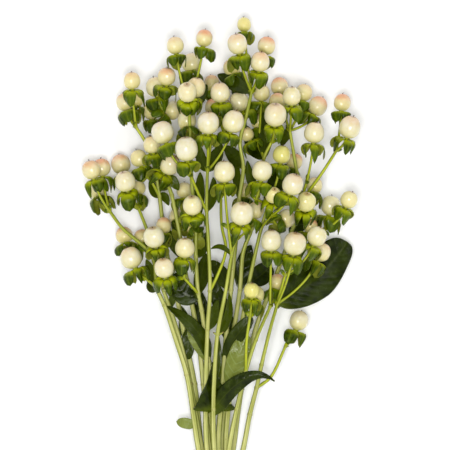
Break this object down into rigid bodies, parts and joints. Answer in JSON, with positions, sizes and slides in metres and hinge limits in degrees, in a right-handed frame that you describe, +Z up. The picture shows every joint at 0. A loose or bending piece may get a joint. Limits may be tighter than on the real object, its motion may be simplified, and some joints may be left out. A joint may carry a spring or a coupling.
{
  "type": "bunch of hypericum berry stems",
  "caption": "Lying bunch of cut berry stems: slim green stalks held by a band near their cut ends, fanning out into forks of pale berries on folded-back sepals.",
  "frame": {"origin": "under the middle of the bunch's box, on the surface it lies on", "axes": "+Y along the stems towards the berries, +X across the fan, +Z up from the surface"},
  "size_m": [0.167, 0.3976, 0.0664],
  "materials": {
    "green_and_berry": "satin plant skin: ivory berries, lime stalks, darker sepals and leaves",
    "band": "matt natural rubber"
  },
  "bodies": {
    "root": {"stem_far_left": "green_and_berry", "stem_left": "green_and_berry", "stem_mid_left": "green_and_berry", "stem_inner_left": "green_and_berry", "stem_left_tall": "green_and_berry", "stem_centre": "green_and_berry", "stem_front": "green_and_berry", "stem_tall_centre": "green_and_berry", "stem_right_tall": "green_and_berry", "stem_right": "green_and_berry", "stem_low_right": "green_and_berry", "stem_lower_right": "green_and_berry", "stem_far_right": "green_and_berry", "band": "band"}
  },
  "joints": []
}
